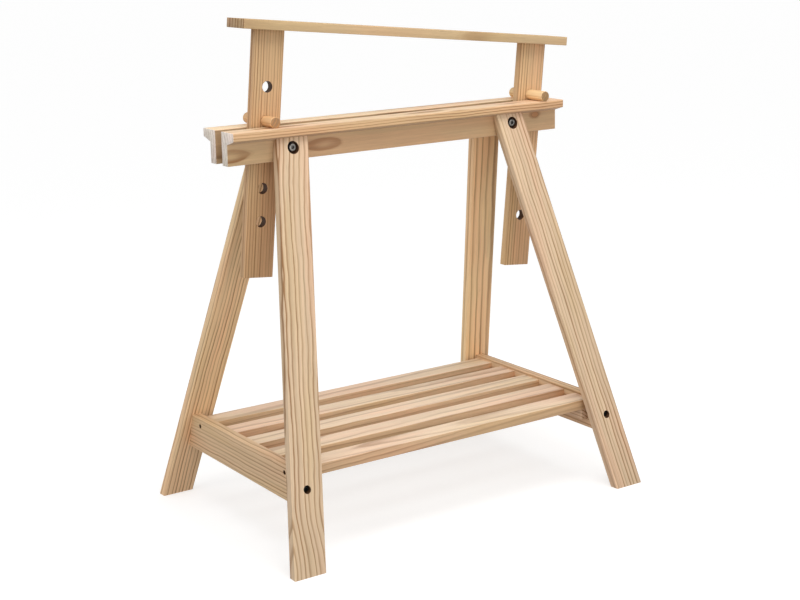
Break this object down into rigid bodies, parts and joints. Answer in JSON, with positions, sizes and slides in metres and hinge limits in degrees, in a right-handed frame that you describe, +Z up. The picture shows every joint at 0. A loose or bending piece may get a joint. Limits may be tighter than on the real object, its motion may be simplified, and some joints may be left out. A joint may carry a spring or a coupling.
{
  "type": "adjustable trestle",
  "caption": "Wooden trestle with splayed legs, a slatted shelf and a top bar on posts that slide between the rails and stand on pegs.",
  "frame": {"origin": "on the floor under the middle of the four feet, at the centre of the bottom of the bounding box", "axes": "+X along the rails, from the left to the right side; +Y from the front to the rear; +Z up"},
  "size_m": [0.7698, 0.511, 0.9041],
  "materials": {
    "pine": "unfinished planed softwood",
    "pale_pine": "unfinished planed softwood",
    "zinc_plated_steel": "satin zinc",
    "dark_steel": "satin dark steel"
  },
  "bodies": {
    "stand": {"front_rail": "pine", "rear_rail": "pine", "left_spacer_block": "pine", "right_spacer_block": "pine", "front_left_leg": "pine", "front_right_leg": "pine", "rear_left_leg": "pine", "rear_right_leg": "pine", "leg_bolts": "zinc_plated_steel", "leg_bolt_washers": "dark_steel", "leg_insert_nuts": "zinc_plated_steel", "left_side_rail": "pine", "right_side_rail": "pine", "side_rail_bolts": "dark_steel", "barrel_nuts": "zinc_plated_steel", "side_rail_dowels": "pale_pine", "shelf_slat_1": "pale_pine", "shelf_slat_2": "pale_pine", "shelf_slat_3": "pale_pine", "shelf_slat_4": "pale_pine", "shelf_slat_5": "pale_pine", "left_batten": "pine", "right_batten": "pine", "slat_screws": "zinc_plated_steel", "batten_screws": "zinc_plated_steel", "slat_end_screws": "dark_steel"},
    "left_peg": {"left_peg": "pale_pine"},
    "top_frame": {"top_bar": "pale_pine", "left_post": "pine", "right_post": "pine", "post_dowels": "pale_pine"},
    "right_peg": {"right_peg": "pale_pine"}
  },
  "joints": [
    {"name": "lift", "type": "slide", "parent": "stand", "child": "left_peg", "axis": [0, 0, 1], "range_m": [0, 0.174]},
    {"name": "tilt", "type": "hinge", "parent": "left_peg", "child": "top_frame", "pos_m": [-0.26646, 0, 0.7286], "axis": [0, -1, 0], "range_deg": [0, 11.54]},
    {"name": "right_peg_pull", "type": "slide", "parent": "top_frame", "child": "right_peg", "axis": [0, -1, 0], "range_m": [0, 0.07]}
  ]
}
